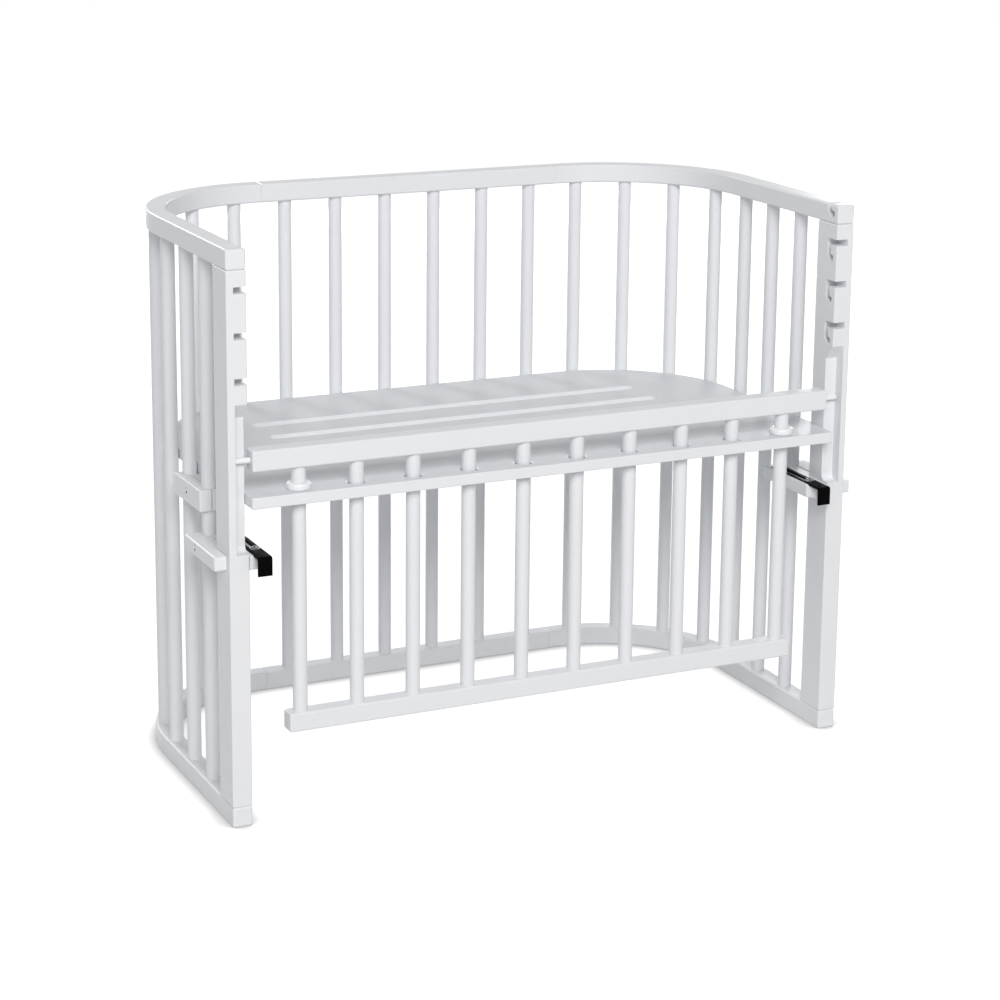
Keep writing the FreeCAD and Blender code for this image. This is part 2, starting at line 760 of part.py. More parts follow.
def hook_strap():
    """Flat steel strap with a long slot, its front end turned down behind the bed's side rail."""
    front = -strap_front
    x0, x1 = strap_inner, strap_inner + strap_width
    bar = block(x0, x1, front, front + strap_length, strap_low, strap_top)
    lip = block(x0, x1, front, front + strap_thickness, strap_top - strap_lip, strap_top)
    strap = bar.fuse(lip).removeSplitter()
    strap = rounded(strap, strap_bend, at_line(0, Vec(0, front, strap_top)))
    inside = Vec(0, front + strap_thickness, strap_low)
    strap = rounded(strap, strap_bend - strap_thickness, at_line(0, inside))
    near, far = strap_screw_at, strap_screw_at + strap_travel
    low, high = strap_low - past, strap_top + past
    half = strap_slot / 2
    slot = block(strap_axis - half, strap_axis + half, near, far, low, high)
    for y in (near, far):
        slot = slot.fuse(rod(half, Vec(strap_axis, y, low), Vec(strap_axis, y, high)))
    return strap.cut(slot.removeSplitter())


def make_brackets():
    axis = bracket_clamp_axis()
    hole, fastener = clamp_screw(axis, Vec(-1, 0, 0), bracket_outer - bar_plane)
    strap_screw = screw(Vec(strap_axis, strap_screw_at, strap_top + rest_gap), Vec(0, 0, -1),
                        strap_head_diameter, strap_head_height, screw_diameter,
                        strap_thickness + strap_screw_bite - glue_gap)
    save_pair("bracket_outer_jaw", bracket_outer_jaw().cut(hole))
    save_pair("bracket_inner_jaw", bracket_inner_jaw().cut(hole))
    save_pair("hook_strap", hook_strap())
    save("right_bracket_screws", fastener, strap_screw)
    save("left_bracket_screws", mirrored(fastener), mirrored(strap_screw))


make_frame()
make_deck()
make_grille()
make_brackets()
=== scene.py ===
"""Bedside sleeper crib: lacquer, bars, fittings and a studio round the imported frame.

Metres, in the frame's own coordinates: X runs along the crib, Y from the open front to the bowed
back, Z up. Each operator makes one group of pieces, and main() runs them in order.
"""

import json
import math

import bmesh
import bpy
from mathutils import Matrix, Vector


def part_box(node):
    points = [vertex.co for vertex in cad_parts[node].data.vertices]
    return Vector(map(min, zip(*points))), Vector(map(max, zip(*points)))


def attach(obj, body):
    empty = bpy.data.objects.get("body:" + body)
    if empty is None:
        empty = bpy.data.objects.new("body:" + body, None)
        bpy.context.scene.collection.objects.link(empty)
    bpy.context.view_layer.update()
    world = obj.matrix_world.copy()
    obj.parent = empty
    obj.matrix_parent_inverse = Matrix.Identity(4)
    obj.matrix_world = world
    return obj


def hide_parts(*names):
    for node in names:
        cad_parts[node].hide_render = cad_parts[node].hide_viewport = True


bl_info = {
    "name": "Bedside Sleeper Crib",
    "version": (1, 0, 0),
    "blender": (4, 5, 0),
    "location": "View3D > Sidebar > Crib",
    "description": "Bars, fittings, finishes and studio for a bar crib with a drop-down grille",
    "category": "Add Mesh",
}

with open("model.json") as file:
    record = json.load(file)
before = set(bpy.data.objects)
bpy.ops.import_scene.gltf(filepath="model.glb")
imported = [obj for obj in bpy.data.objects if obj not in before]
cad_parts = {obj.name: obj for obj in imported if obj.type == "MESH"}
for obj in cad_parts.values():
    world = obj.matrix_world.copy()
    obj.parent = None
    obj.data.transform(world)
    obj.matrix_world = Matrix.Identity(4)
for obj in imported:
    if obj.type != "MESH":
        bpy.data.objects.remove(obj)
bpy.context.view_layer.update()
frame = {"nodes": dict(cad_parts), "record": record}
NODES = frame["nodes"]
BODIES = frame["record"]["behaviour"]["bodies"]
MM = 0.001
MICRONS = 1e6  # in a metre

# Film patterns, in cells a metre.
WAVES, TONE_CLOUDS, GLOSS_CLOUDS = 22.0, 9.0, 31.0
# Wood grain: bands and pores in cells a metre, how far both are drawn out along Z, the pores'
# depth in metres and the brightness where there is neither.
GRAIN_BANDS, GRAIN_PORES, GRAIN_DRAW = 260.0, 1500.0, 0.06
PORE_DEPTH, GRAIN_LIGHT = 3e-5, 1.15
# Sockets of a colour Mix node by number, as they share their names with its other types.
MIX_SHARE, MIX_FIRST, MIX_SECOND, MIX_COLOUR = 0, 6, 7, 2

# Flats round the turned pieces and the screws.
RING_SIDES, PIN_SIDES, CAP_SIDES, HEAD_SIDES, CORE_SIDES = 72, 48, 36, 48, 24

# Screws. Core and thread are shares of the shank's radius; crown, deepest hexagon and the
# shank's reach into the head are shares of the head's height; the widest hexagon is a share of
# its radius. The crown's power says how late the dome falls away. A point belongs to the head
# when it lies that many shank radii from the axis, and to an end within END_DEPTH of it.
CORE_SHARE, TOOTH_SHARE = 0.84, 0.15
CROWN_SHARE, HEX_DEEPEST, SHANK_IN_HEAD = 0.45, 0.7, 0.9
HEX_WIDEST, CROWN_POWER = 0.8, 2.6
HEAD_TO_SHANK, END_DEPTH = 1.2, 0.3 * MM

# Hook straps: corner points closer than this are one, flatter edges than the first angle are
# dissolved, and sharper ones than the second are rounded.
STRAP_WELD = 2e-6
STRAP_FLAT, STRAP_SHARP = math.radians(1), math.radians(40)

# Floor: half its width, its brightness as light on the crib, its brightness under the lamps
# where it is seen, and how the open sky over a point sets its own emission, a painted contact
# shadow.
FLOOR_HALF, FLOOR_BOUNCE, FLOOR_LIT = 9.0, 0.8, 0.26
FLOOR_PAINTED_SHADOW = {"From Min": 0.4, "From Max": 0.92, "To Min": 0.34, "To Max": 0.97}

# Lamps: name, width and height in metres, colour. Place and power are studio settings.
LAMPS = (
    ("key", (5.0, 3.8), (1.0, 0.99, 0.98)),
    ("fill", (2.0, 2.0), (0.97, 0.98, 1.0)),
    ("back", (3.4, 0.36), (1.0, 1.0, 1.0)),
    ("side", (1.6, 1.6), (1.0, 1.0, 1.0)),
    ("edge", (1.2, 0.8), (1.0, 1.0, 1.0)),
)
LIT_POINT = Vector((0.0, 0.0, 0.42))


# ---------------------------------------------------------------- what the frame says
def node_names(word, body=None):
    """CAD nodes whose name holds that word, in order, of one body or of all."""
    known = BODIES[body] if body else NODES
    return sorted(name for name in known if word in name)


def loose_islands(node):
    """Corner points of each separate solid in a CAD node, whose faces are linked where their
    corners agree to a micron."""
    mesh = NODES[node].data
    spot_of = [tuple(round(c * MICRONS) for c in vertex.co) for vertex in mesh.vertices]
    leader = {spot: spot for spot in spot_of}

    def find(spot):
        while leader[spot] != spot:
            leader[spot] = leader[leader[spot]]
            spot = leader[spot]
        return spot

    for polygon in mesh.polygons:
        first = find(spot_of[polygon.vertices[0]])
        for index in polygon.vertices[1:]:
            leader[find(spot_of[index])] = first
    islands = {}
    for spot in leader:
        islands.setdefault(find(spot), []).append(Vector(spot) / MICRONS)
    return sorted(islands.values(), key=lambda points: tuple(min(points, key=tuple)))


def extent(points):
    """Lowest and highest corner of the box round the points."""
    low = Vector([min(p[k] for p in points) for k in range(3)])
    high = Vector([max(p[k] for p in points) for k in range(3)])
    return low, high


def bar_size():
    """Radius of the bars, read from a bar of the frame."""
    low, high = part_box(node_names("side_bar_")[0])
    return (high.x - low.x) / 2


# ---------------------------------------------------------------- sizes and colours to change
class CRIB_PG_sizes(bpy.types.PropertyGroup):
    """Sizes of the pieces that are made here"""

    bar_radius: bpy.props.FloatProperty(
        name="Bar Radius", description="Radius of the round bars", default=bar_size(),
        min=0.004, unit="LENGTH", subtype="DISTANCE")
    bar_sides: bpy.props.IntProperty(
        name="Bar Sides", description="Flats round a bar", default=56, min=12, max=128)
    film_bead: bpy.props.FloatProperty(
        name="Film Bead", description="Radius of the lacquer bead where a bar enters a rail",
        default=0.45 * MM, min=0.0, unit="LENGTH", subtype="DISTANCE")
    bar_socket: bpy.props.FloatProperty(
        name="Bar Socket", description="How far a bar's end is hidden in its rail",
        default=12 * MM, unit="LENGTH", subtype="DISTANCE")
    strap_edge: bpy.props.FloatProperty(
        name="Strap Edge", description="Rounding on the stamped edges of the hook straps",
        default=0.8 * MM, unit="LENGTH", subtype="DISTANCE")
    hex_width: bpy.props.FloatProperty(
        name="Hexagon Width", description="Screw socket, across its flats",
        default=4 * MM, unit="LENGTH", subtype="DISTANCE")
    hex_depth: bpy.props.FloatProperty(
        name="Hexagon Depth", description="Depth of the screw socket",
        default=1.9 * MM, unit="LENGTH", subtype="DISTANCE")
    thread_pitch: bpy.props.FloatProperty(
        name="Thread Pitch", description="Rise of the screw threads in one turn",
        default=1.4 * MM, unit="LENGTH", subtype="DISTANCE")


class CRIB_PG_finish(bpy.types.PropertyGroup):
    """Colours and gloss of the finishes"""

    lacquer: bpy.props.FloatVectorProperty(
        name="Lacquer", description="White lacquer on rails, bars and jaws",
        default=(0.81, 0.825, 0.845), size=3, min=0.0, max=1.0, subtype="COLOR")
    lacquer_roughness: bpy.props.FloatProperty(
        name="Lacquer Roughness", description="0 is a mirror, 1 is chalk", default=0.34,
        min=0.0, max=1.0, subtype="FACTOR")
    deck: bpy.props.FloatVectorProperty(
        name="Deck", description="Coated board of the mattress deck",
        default=(0.69, 0.71, 0.735), size=3, min=0.0, max=1.0, subtype="COLOR")
    deck_roughness: bpy.props.FloatProperty(
        name="Deck Roughness", description="The same for the deck's top", default=0.33,
        min=0.0, max=1.0, subtype="FACTOR")
    plastic: bpy.props.FloatVectorProperty(
        name="Plastic", description="Stop rings, end pins and rail caps",
        default=(0.86, 0.87, 0.89), size=3, min=0.0, max=1.0, subtype="COLOR")
    powder_coat: bpy.props.FloatVectorProperty(
        name="Powder Coat", description="Hook straps",
        default=(0.002, 0.002, 0.0024), size=3, min=0.0, max=1.0, subtype="COLOR")
    zinc: bpy.props.FloatVectorProperty(
        name="Zinc", description="Plated screws", default=(0.62, 0.65, 0.67), size=3,
        min=0.0, max=1.0, subtype="COLOR")
    beech: bpy.props.FloatVectorProperty(
        name="Beech", description="Bare dowels inside the joints", default=(0.56, 0.36, 0.20),
        size=3, min=0.0, max=1.0, subtype="COLOR")


class CRIB_PG_studio(bpy.types.PropertyGroup):
    """Camera, lamps and backdrop"""

    camera_place: bpy.props.FloatVectorProperty(
        name="Camera Place", description="Where the camera stands",
        default=(-1.567, -3.3577, 1.387), size=3, unit="LENGTH", subtype="TRANSLATION")
    heading: bpy.props.FloatProperty(
        name="Heading", description="Camera's turn about Z; 0 looks along +Y",
        default=math.radians(-25.529), unit="ROTATION", subtype="ANGLE")
    dip: bpy.props.FloatProperty(
        name="Dip", description="How far the camera looks down",
        default=math.radians(13.146), unit="ROTATION", subtype="ANGLE")
    roll: bpy.props.FloatProperty(
        name="Roll", description="Camera's lean about its own axis",
        default=math.radians(0.572), unit="ROTATION", subtype="ANGLE")
    focal_length: bpy.props.FloatProperty(
        name="Focal Length", description="Lens, on a 36 mm sensor", default=93.74,
        unit="CAMERA")
    rise: bpy.props.FloatProperty(
        name="Rise", description="Vertical shift of the picture, in picture widths",
        default=-0.12)
    sky: bpy.props.FloatVectorProperty(
        name="Sky", description="Soft light from all round", default=(0.228, 0.231, 0.237),
        size=3, min=0.0, soft_max=1.0, subtype="COLOR")
    key_place: bpy.props.FloatVectorProperty(
        name="Key Place", description="Large soft lamp, high in front on the left",
        default=(-2.0, -7.3, 5.4), size=3, unit="LENGTH", subtype="TRANSLATION")
    key_power: bpy.props.FloatProperty(
        name="Key Power", description="Strength of the large soft lamp", default=575.0,
        unit="POWER")
    fill_place: bpy.props.FloatVectorProperty(
        name="Fill Place", description="Soft lamp on the left", default=(-5.0, -1.3, 1.2),
        size=3, unit="LENGTH", subtype="TRANSLATION")
    fill_power: bpy.props.FloatProperty(
        name="Fill Power", description="Strength of the lamp on the left", default=9.0,
        unit="POWER")
    back_place: bpy.props.FloatVectorProperty(
        name="Back Place", description="Low strip lamp that lights the bowed back",
        default=(1.3, 4.5, 0.22), size=3, unit="LENGTH", subtype="TRANSLATION")
    back_power: bpy.props.FloatProperty(
        name="Back Power", description="Strength of the lamp behind", default=34.0,
        unit="POWER")
    side_place: bpy.props.FloatVectorProperty(
        name="Side Place", description="Soft lamp behind on the right",
        default=(3.7, 3.4, 1.2), size=3, unit="LENGTH", subtype="TRANSLATION")
    side_power: bpy.props.FloatProperty(
        name="Side Power", description="Strength of the lamp behind on the right", default=48.0,
        unit="POWER")
    edge_place: bpy.props.FloatVectorProperty(
        name="Edge Place", description="Narrow lamp behind, which draws the edges",
        default=(-0.85, 3.74, 2.0), size=3, unit="LENGTH", subtype="TRANSLATION")
    edge_power: bpy.props.FloatProperty(
        name="Edge Power", description="Strength of the narrow lamp", default=48.0,
        unit="POWER")
    shadow_reach: bpy.props.FloatProperty(
        name="Shadow Reach", description="How far the contact shadow spreads on the floor",
        default=0.05, min=0.0, unit="LENGTH", subtype="DISTANCE")


# ---------------------------------------------------------------- node trees
def put(tree, kind, inputs=None, **settings):
    """Adds a node, sets its own settings, then sets or links its inputs by name or number."""
    node = tree.nodes.new(kind)
    for key, value in settings.items():
        setattr(node, key, value)
    for key, value in (inputs or {}).items():
        if isinstance(value, bpy.types.NodeSocket):
            tree.links.new(value, node.inputs[key])
        else:
            node.inputs[key].default_value = value
    return node


def calc(tree, operation, *values):
    """Output of a Math node, in shader and geometry trees alike."""
    node = put(tree, "ShaderNodeMath", dict(enumerate(values)), operation=operation)
    return node.outputs[0]


def new_group(name, kind, inputs, outputs):
    """A node group with sockets (name, type, default), where Distance and Factor are floats.
    Returns the tree, its inputs by name and its output node."""
    tree = bpy.data.node_groups.new(name, kind)
    for title, socket, default in inputs:
        special = socket in ("Distance", "Factor")
        made = tree.interface.new_socket(name=title, in_out="INPUT", socket_type="NodeSocket" +
                                         ("Float" if special else socket))
        if special:
            made.subtype = socket.upper()
        if default is not None:
            made.default_value = default
    for title, socket in outputs:
        tree.interface.new_socket(name=title, in_out="OUTPUT", socket_type="NodeSocket" + socket)
    start = tree.nodes.new("NodeGroupInput")
    return tree, start.outputs, tree.nodes.new("NodeGroupOutput")


def lay_out(tree):
    """Sets the nodes out in columns, each to the right of what feeds it."""
    column = {}

    def depth(node):
        if node.name not in column:
            column[node.name] = 0
            before = [link.from_node for link in tree.links if link.to_node == node]
            column[node.name] = 1 + max([depth(other) for other in before], default=-1)
        return column[node.name]

    filled = {}
    for node in tree.nodes:
        x = depth(node)
        filled[x] = filled.get(x, 0) + 1
        node.location = (x * 220, -filled[x] * 220)


def noise(tree, place, scale, detail=2.0, roughness=0.5):
    """A noise from 0 to 1 at that many cells a metre."""
    node = put(tree, "ShaderNodeTexNoise", {"Vector": place, "Scale": scale, "Detail": detail,
                                            "Roughness": roughness})
    return node.outputs["Fac"]


def grey(level):
    """A neutral colour of that brightness."""
    return (level, level, level, 1.0)


def swing(tree, fac, size):
    """Turns a noise about 0.5 into a value about 0, that many times as large."""
    return calc(tree, "MULTIPLY", calc(tree, "SUBTRACT", fac, 0.5), size)


def film_group():
    """A sprayed film: fine orange peel on long waves, cloudy gloss, faintly uneven tone."""
    tree, given, end = new_group(
        "Crib Sprayed Film", "ShaderNodeTree",
        [("Place", "Vector", None), ("Colour", "Color", (0.8, 0.8, 0.8, 1.0)),
         ("Shade", "Factor", 0.03), ("Roughness", "Factor", 0.35),
         ("Gloss Clouds", "Factor", 0.05), ("Peel Size", "Distance", 0.002),
         ("Peel Height", "Distance", 4e-6), ("Wave Height", "Distance", 5e-5)],
        [("Colour", "Color"), ("Roughness", "Float"), ("Height", "Float")])
    place = given["Place"]
    cells = calc(tree, "DIVIDE", 1.0, given["Peel Size"])
    peel = swing(tree, noise(tree, place, cells, 1.0), given["Peel Height"])
    wave = swing(tree, noise(tree, place, WAVES, 1.0), given["Wave Height"])
    height = calc(tree, "ADD", peel, wave)
    clouds = noise(tree, place, TONE_CLOUDS, 3.0)
    tone = calc(tree, "SUBTRACT", 1.0, calc(tree, "MULTIPLY", clouds, given["Shade"]))
    tinted = put(tree, "ShaderNodeVectorMath", {0: given["Colour"]}, operation="SCALE")
    tree.links.new(tone, tinted.inputs["Scale"])
    gloss = calc(tree, "ADD", given["Roughness"],
                 swing(tree, noise(tree, place, GLOSS_CLOUDS, 3.0), given["Gloss Clouds"]))
    tree.links.new(tinted.outputs[0], end.inputs["Colour"])
    tree.links.new(gloss, end.inputs["Roughness"])
    tree.links.new(height, end.inputs["Height"])
    lay_out(tree)
    return tree


def grain_group():
    """Wood grain along Z of the pattern: growth bands and fine pores."""
    tree, given, end = new_group(
        "Crib Wood Grain", "ShaderNodeTree",
        [("Place", "Vector", None), ("Colour", "Color", (0.56, 0.36, 0.2, 1.0)),
         ("Contrast", "Factor", 0.6)],
        [("Colour", "Color"), ("Height", "Float")])
    drawn = put(tree, "ShaderNodeVectorMath", {0: given["Place"], 1: (1.0, 1.0, GRAIN_DRAW)},
                operation="MULTIPLY").outputs[0]
    bands = noise(tree, drawn, GRAIN_BANDS, 4.0, 0.6)
    pores = noise(tree, drawn, GRAIN_PORES, 2.0, 0.7)
    dark = calc(tree, "MULTIPLY", calc(tree, "MULTIPLY", bands, pores), given["Contrast"])
    tone = calc(tree, "SUBTRACT", GRAIN_LIGHT, dark)
    tinted = put(tree, "ShaderNodeVectorMath", {0: given["Colour"]}, operation="SCALE")
    tree.links.new(tone, tinted.inputs["Scale"])
    tree.links.new(tinted.outputs[0], end.inputs["Colour"])
    tree.links.new(calc(tree, "MULTIPLY", pores, PORE_DEPTH), end.inputs["Height"])
    lay_out(tree)
    return tree


def shared_group(name, build):
    """The node group of that name, built on its first use."""
    return bpy.data.node_groups.get(name) or build()


# ---------------------------------------------------------------- finishes
def new_finish(name):
    """An empty material with a Principled shader. Returns material, tree, shader and the
    pattern's place on the piece."""
    material = bpy.data.materials.new(name)
    material.use_nodes = True
    tree = material.node_tree
    shader = tree.nodes["Principled BSDF"]
    place = tree.nodes.new("ShaderNodeTexCoord").outputs["Object"]
    return material, tree, shader, place


def sprayed(name, colour, roughness, film_values, shader_values=None):
    """A material with a sprayed film. The values go to the inputs of the film group and of the
    shader by name."""
    material = bpy.data.materials.get(name)
    if material:
        return material
    material, tree, shader, place = new_finish(name)
    group = shared_group("Crib Sprayed Film", film_group)
    film = put(tree, "ShaderNodeGroup", node_tree=group, name="Film")
    tree.links.new(place, film.inputs["Place"])
    film.inputs["Colour"].default_value = (*colour, 1.0)
    film.inputs["Roughness"].default_value = roughness
    for key, value in film_values.items():
        film.inputs[key].default_value = value
    for key, value in (shader_values or {}).items():
        shader.inputs[key].default_value = value
    bump = put(tree, "ShaderNodeBump", {"Height": film.outputs["Height"], "Distance": 1.0})
    tree.links.new(film.outputs["Colour"], shader.inputs["Base Color"])
    tree.links.new(film.outputs["Roughness"], shader.inputs["Roughness"])
    tree.links.new(bump.outputs["Normal"], shader.inputs["Normal"])
    lay_out(tree)
    return material


def white_lacquer():
    finish = bpy.context.scene.crib_finish
    return sprayed("Crib white lacquer", finish.lacquer, finish.lacquer_roughness,
                   {"Shade": 0.025, "Gloss Clouds": 0.08, "Peel Size": 0.0022,
                    "Peel Height": 2e-6, "Wave Height": 4e-6}, {"Specular IOR Level": 0.2})


def deck_coating_with_painted_lit_sides():
    """Coated top, with edges and slot walls in the lacquer of the rails: partly a two-tone
    finish, partly painted light, as the lighter walls stand in for the front light on them.
    """
    name = "Crib deck board"
    if name in bpy.data.materials:
        return bpy.data.materials[name]
    finish = bpy.context.scene.crib_finish
    material = sprayed(name, finish.deck, finish.deck_roughness,
                       {"Shade": 0.02, "Gloss Clouds": 0.05, "Peel Size": 0.03,
                        "Peel Height": 4e-6, "Wave Height": 1e-5}, {"Specular IOR Level": 0.2})
    tree = material.node_tree
    # Partly painted light: faces far from level take the lighter lacquer colour, so slot walls
    # and edges read as lit from the front, while the level top keeps the darker deck colour.
    way = tree.nodes["Texture Coordinate"].outputs["Normal"]
    level = calc(tree, "ABSOLUTE", put(tree, "ShaderNodeSeparateXYZ", {0: way}).outputs["Z"])
    face = put(tree, "ShaderNodeMapRange", {"Value": level, "From Min": 0.5, "From Max": 0.95})
    colour = put(tree, "ShaderNodeMix", {MIX_SHARE: face.outputs[0],
                                         MIX_FIRST: (*finish.lacquer, 1.0),
                                         MIX_SECOND: (*finish.deck, 1.0)}, data_type="RGBA")
    tree.links.new(colour.outputs[MIX_COLOUR], tree.nodes["Film"].inputs["Colour"])
    lay_out(tree)
    return material


def white_plastic():
    finish = bpy.context.scene.crib_finish
    return sprayed("Crib white plastic", finish.plastic, 0.3,
                   {"Shade": 0.015, "Gloss Clouds": 0.04, "Peel Size": 0.0006,
                    "Peel Height": 1.5e-6, "Wave Height": 8e-6}, {"IOR": 1.49})


def powder_coat():
    finish = bpy.context.scene.crib_finish
    return sprayed("Crib black powder coat", finish.powder_coat, 0.38,
                   {"Shade": 0.3, "Gloss Clouds": 0.1, "Peel Size": 0.0007,
                    "Peel Height": 1.2e-5, "Wave Height": 1e-5}, {"Specular IOR Level": 0.02})


def zinc_plate():
    finish = bpy.context.scene.crib_finish
    return sprayed("Crib zinc plate", finish.zinc, 0.24,
                   {"Shade": 0.3, "Gloss Clouds": 0.12, "Peel Size": 0.0004,
                    "Peel Height": 1e-6, "Wave Height": 0.0}, {"Metallic": 1.0})


def bare_beech():
    name = "Crib bare beech"
    if name in bpy.data.materials:
        return bpy.data.materials[name]
    finish = bpy.context.scene.crib_finish
    material, tree, shader, place = new_finish(name)
    grain = put(tree, "ShaderNodeGroup", node_tree=shared_group("Crib Wood Grain", grain_group))
    tree.links.new(place, grain.inputs["Place"])
    grain.inputs["Colour"].default_value = (*finish.beech, 1.0)
    bump = put(tree, "ShaderNodeBump", {"Height": grain.outputs["Height"], "Distance": 1.0})
    tree.links.new(grain.outputs["Colour"], shader.inputs["Base Color"])
    tree.links.new(bump.outputs["Normal"], shader.inputs["Normal"])
    shader.inputs["Roughness"].default_value = 0.6
    lay_out(tree)
    return material


def give_finish(node, material):
    """Puts a finish on a CAD node, whose shape stays as it is."""
    piece = NODES[node]
    if not piece.material_slots:
        piece.data.materials.append(material)
    for slot in piece.material_slots:
        slot.material = material


# ---------------------------------------------------------------- making pieces
def smooth_all(mesh, sharp=35.0):
    """Smooth shading that breaks at edges sharper than that many degrees."""
    mesh.polygons.foreach_set("use_smooth", [True] * len(mesh.polygons))
    mesh.set_sharp_from_angle(angle=math.radians(sharp))


def new_piece(name, mesh, body, nodes=()):
    """A piece in the frame's place that rides on a body and stands for those CAD nodes."""
    mesh.name = name
    piece = bpy.data.objects.new(name, mesh)
    bpy.context.scene.collection.objects.link(piece)
    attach(piece, body)
    if nodes:
        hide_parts(*nodes)
    return piece


def turned(profile, sides, place, way, material, closed=False):
    """A turned mesh: profile is (radius, height) along way from place. A closed profile makes a
    ring; otherwise both its ends are on the axis."""
    rings = []
    work = bmesh.new()
    turn = way.to_track_quat("Z", "Y").to_matrix()
    for radius, height in profile:
        count = sides if radius > 0 else 1
        ring = []
        for k in range(count):
            angle = 2 * math.pi * k / sides
            spot = Vector((radius * math.cos(angle), radius * math.sin(angle), height))
            ring.append(work.verts.new(place + turn @ spot))
        rings.append(ring)
    pairs = list(zip(rings, rings[1:]))
    if closed:
        pairs.append((rings[-1], rings[0]))
    for low, high in pairs:
        for k in range(sides):
            corners = [low[k % len(low)], low[(k + 1) % len(low)],
                       high[(k + 1) % len(high)], high[k % len(high)]]
            work.faces.new(list(dict.fromkeys(corners)))
    bmesh.ops.recalc_face_normals(work, faces=work.faces)
    mesh = bpy.data.meshes.new("turned")
    work.to_mesh(mesh)
    work.free()
    mesh.materials.append(material)
    smooth_all(mesh)
    return mesh


def joined(meshes):
    """One mesh out of several that share a material; the parts are removed."""
    work = bmesh.new()
    for mesh in meshes:
        work.from_mesh(mesh)
    whole = bpy.data.meshes.new("joined")
    work.to_mesh(whole)
    work.free()
    for material in meshes[0].materials:
        whole.materials.append(material)
    smooth_all(whole)
    for mesh in meshes:
        bpy.data.meshes.remove(mesh)
    return whole


def grown(tree, points, values, ways=None):
    """Runs a Geometry Nodes tree on loose points and returns the result as a plain mesh. values
    go to the tree's inputs by name; ways are the directions that its pieces face."""
    seed = bpy.data.meshes.new("points")
    seed.from_pydata([tuple(p) for p in points], [], [])
    if ways:
        facing = seed.attributes.new("way", "FLOAT_VECTOR", "POINT")
        facing.data.foreach_set("vector", [c for way in ways for c in way])
    holder = bpy.data.objects.new("points", seed)
    bpy.context.scene.collection.objects.link(holder)
    modifier = holder.modifiers.new("Grow", "NODES")
    modifier.node_group = tree
    for title, value in values.items():
        modifier[tree.interface.items_tree[title].identifier] = value
    holder.update_tag()
    graph = bpy.context.evaluated_depsgraph_get()
    mesh = bpy.data.meshes.new_from_object(holder.evaluated_get(graph), depsgraph=graph)
    bpy.data.objects.remove(holder)
    bpy.data.meshes.remove(seed)
    if not mesh.polygons:
        raise RuntimeError("the tree " + tree.name + " made nothing")
    return mesh


def bars_tree():
    """Upright bars on points at their feet, each with a bead of lacquer at both rails."""
    tree, given, end = new_group(
        "Crib Bars", "GeometryNodeTree",
        [("Feet", "Geometry", None), ("Length", "Distance", 0.45), ("Radius", "Distance", 0.01),
         ("Sides", "Int", 48), ("Socket", "Distance", 0.012), ("Bead", "Distance", 0.0005),
         ("Finish", "Material", None)],
        [("Bars", "Geometry")])
    top = put(tree, "ShaderNodeCombineXYZ", {"Z": given["Length"]}).outputs[0]
    axis = put(tree, "GeometryNodeCurvePrimitiveLine", {"End": top}).outputs["Curve"]
    steps = put(tree, "GeometryNodeResampleCurve", {"Curve": axis, "Count": 9}).outputs["Curve"]
    outline = put(tree, "GeometryNodeCurvePrimitiveCircle",
                  {"Resolution": given["Sides"], "Radius": given["Radius"]}).outputs["Curve"]
    rod = put(tree, "GeometryNodeCurveToMesh",
              {"Curve": steps, "Profile Curve": outline, "Fill Caps": True}).outputs["Mesh"]
    section = put(tree, "GeometryNodeCurvePrimitiveCircle",
                  {"Resolution": 10, "Radius": given["Bead"]}).outputs["Curve"]
    bead = put(tree, "GeometryNodeCurveToMesh",
               {"Curve": outline, "Profile Curve": section}).outputs["Mesh"]
    parts = tree.nodes.new("GeometryNodeJoinGeometry")
    tree.links.new(rod, parts.inputs[0])
    for height in (given["Socket"], calc(tree, "SUBTRACT", given["Length"], given["Socket"])):
        lift = put(tree, "ShaderNodeCombineXYZ", {"Z": height}).outputs[0]
        moved = put(tree, "GeometryNodeTransform", {"Geometry": bead, "Translation": lift})
        tree.links.new(moved.outputs[0], parts.inputs[0])
    stood = put(tree, "GeometryNodeInstanceOnPoints",
                {"Points": given["Feet"], "Instance": parts.outputs[0]}).outputs[0]
    real = put(tree, "GeometryNodeRealizeInstances", {"Geometry": stood}).outputs[0]
    done = put(tree, "GeometryNodeSetMaterial", {"Geometry": real, "Material": given["Finish"]})
    tree.links.new(done.outputs[0], end.inputs["Bars"])
    lay_out(tree)
    return tree


